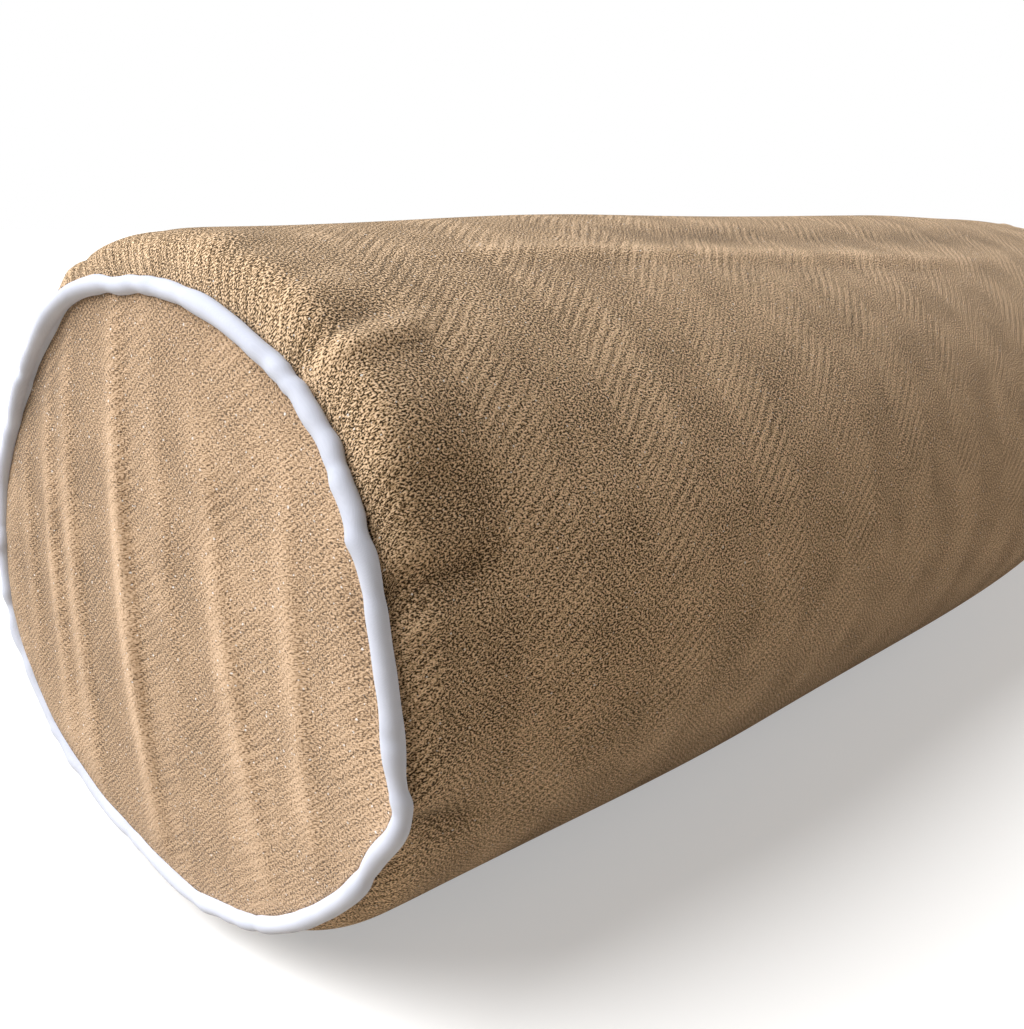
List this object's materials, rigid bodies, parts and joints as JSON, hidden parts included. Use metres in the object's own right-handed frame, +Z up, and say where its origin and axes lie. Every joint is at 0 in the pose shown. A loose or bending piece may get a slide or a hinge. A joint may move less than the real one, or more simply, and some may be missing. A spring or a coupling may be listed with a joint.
{
  "type": "bolster pillow",
  "caption": "Long round bolster pillow with a woven zip-off cover, corded piping round both ends and a soft inner cushion, for support on a massage table.",
  "frame": {"origin": "on the surface that the pillow lies on, under the middle of its bounding box", "axes": "+X along the pillow, towards the end where the zip closes; -Y the front; +Z up"},
  "size_m": [0.61, 0.239, 0.2133],
  "materials": {
    "cover_weave": "matte",
    "piping_cotton": "matte",
    "filler_cord": "matte",
    "zip_tape": "matte",
    "zip_coil": "satin",
    "zip_metal": "satin",
    "liner_cotton": "matte",
    "fill_fibre": "matte"
  },
  "bodies": {
    "pillow": {"cover_body_panel": "cover_weave", "end_panel_left": "cover_weave", "end_panel_right": "cover_weave", "piping_left": "piping_cotton", "piping_right": "piping_cotton", "piping_cord_left": "filler_cord", "piping_cord_right": "filler_cord", "zip_tape_upper": "zip_tape", "zip_tape_lower": "zip_tape", "zip_coil_upper": "zip_coil", "zip_coil_lower": "zip_coil", "zip_top_stop_upper": "zip_metal", "zip_top_stop_lower": "zip_metal", "zip_bottom_stop": "zip_metal", "liner_body": "liner_cotton", "liner_end_left": "liner_cotton", "liner_end_right": "liner_cotton", "fill_core": "fill_fibre"},
    "slider": {"zip_slider": "zip_metal"},
    "pull": {"zip_pull": "zip_metal"}
  },
  "joints": [
    {"name": "zip_slide", "type": "slide", "parent": "pillow", "child": "slider", "axis": [-1, 0, 0], "range_m": [0, 0.372]},
    {"name": "pull_hinge", "type": "hinge", "parent": "slider", "child": "pull", "pos_m": [0.186, 0.10323, 0.1626], "axis": [0, 0.5607, -0.828], "range_deg": [0, 180]}
  ]
}
